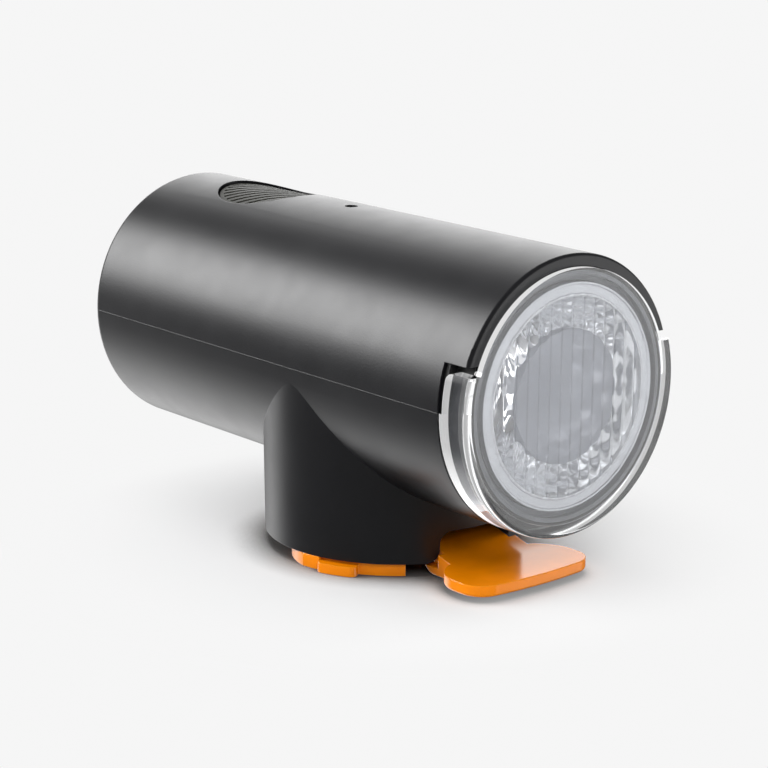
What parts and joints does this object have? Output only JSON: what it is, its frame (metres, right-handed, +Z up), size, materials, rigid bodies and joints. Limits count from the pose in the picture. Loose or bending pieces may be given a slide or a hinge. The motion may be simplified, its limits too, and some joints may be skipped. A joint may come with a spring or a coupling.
{
  "type": "bike headlight",
  "caption": "Cylindrical rechargeable bicycle headlight with a clear fluted lens, a push button on top and an orange quick-release foot under a round pedestal.",
  "frame": {"origin": "centre of the orange foot plate's underside, on the pedestal's axis, in the plane the lamp rests on", "axes": "+Z up through the pedestal, -Y along the beam (the lens faces -Y), +X towards the left hand of a rider behind the lamp"},
  "size_m": [0.034, 0.0747, 0.0419],
  "materials": {
    "shell_black": "fine spark-eroded grain",
    "button_rubber": "matt silicone rubber",
    "seal_rubber": "matt silicone rubber",
    "lens_clear": "clear polycarbonate, polished",
    "bezel_grey": "satin dark grey",
    "reflector_silver": "aluminised plastic",
    "optic_clear": "clear acrylic",
    "board_white": "white solder mask on aluminium",
    "led_yellow": "phosphor under silicone",
    "sink_aluminium": "die cast",
    "screw_steel": "black zinc plated",
    "cell_wrap": "heat-shrink sleeve",
    "tab_nickel": "nickel strip",
    "cradle_plastic": "plain moulded",
    "foam_grey": "closed-cell foam",
    "board_green": "green solder mask",
    "chip_black": "epoxy moulded",
    "lead_red": "silicone insulation",
    "lead_black": "silicone insulation",
    "port_steel": "drawn stainless",
    "mount_orange": "semi-gloss acetal",
    "pin_steel": "ground"
  },
  "bodies": {
    "housing": {"upper_shell": "shell_black", "lower_shell": "shell_black", "front_lens": "lens_clear", "lens_seal": "seal_rubber", "bezel_ring": "bezel_grey", "reflector": "reflector_silver", "collimator": "optic_clear", "led_board": "board_white", "led_emitter": "led_yellow", "heat_sink": "sink_aluminium", "optic_screws": "screw_steel", "battery_cell": "cell_wrap", "cell_tab_front": "tab_nickel", "cell_tab_rear": "tab_nickel", "battery_cradle": "cradle_plastic", "battery_pad": "foam_grey", "main_board": "board_green", "board_screws": "screw_steel", "driver_inductor": "chip_black", "charge_chip": "chip_black", "led_lead_left": "lead_black", "led_lead_right": "lead_red", "cell_lead_front": "lead_red", "cell_lead_rear": "lead_black", "button_seal": "seal_rubber", "button_frame": "cradle_plastic", "switch_body": "chip_black", "indicator_led": "led_yellow", "light_pipe": "optic_clear", "port_shell": "port_steel", "port_insert": "chip_black", "case_screws": "screw_steel", "base_plate": "mount_orange", "base_screws": "screw_steel", "lever_pin": "pin_steel", "lever_spring": "pin_steel"},
    "button": {"button_cap": "button_rubber", "switch_stem": "chip_black"},
    "port_cover": {"port_cover": "button_rubber"},
    "release_lever": {"release_lever": "mount_orange"}
  },
  "joints": [
    {"name": "button_press", "type": "slide", "parent": "housing", "child": "button", "axis": [0, 0, -1], "range_m": [0, 0.0004], "stiffness_N_per_m": 5000, "deforming": ["button_seal"]},
    {"name": "lever_swing", "type": "hinge", "parent": "housing", "child": "release_lever", "pos_m": [0, -0.0045, 0.0037], "axis": [-1, 0, 0], "range_deg": [0, 4], "stiffness_Nm_per_rad": 0.4, "springref_deg": -2.86, "deforming": ["lever_spring"]},
    {"name": "cover_hinge", "type": "hinge", "parent": "housing", "child": "port_cover", "pos_m": [0, 0.0421, 0.02918], "axis": [-1, 0, 0], "range_deg": [0, 100]}
  ]
}
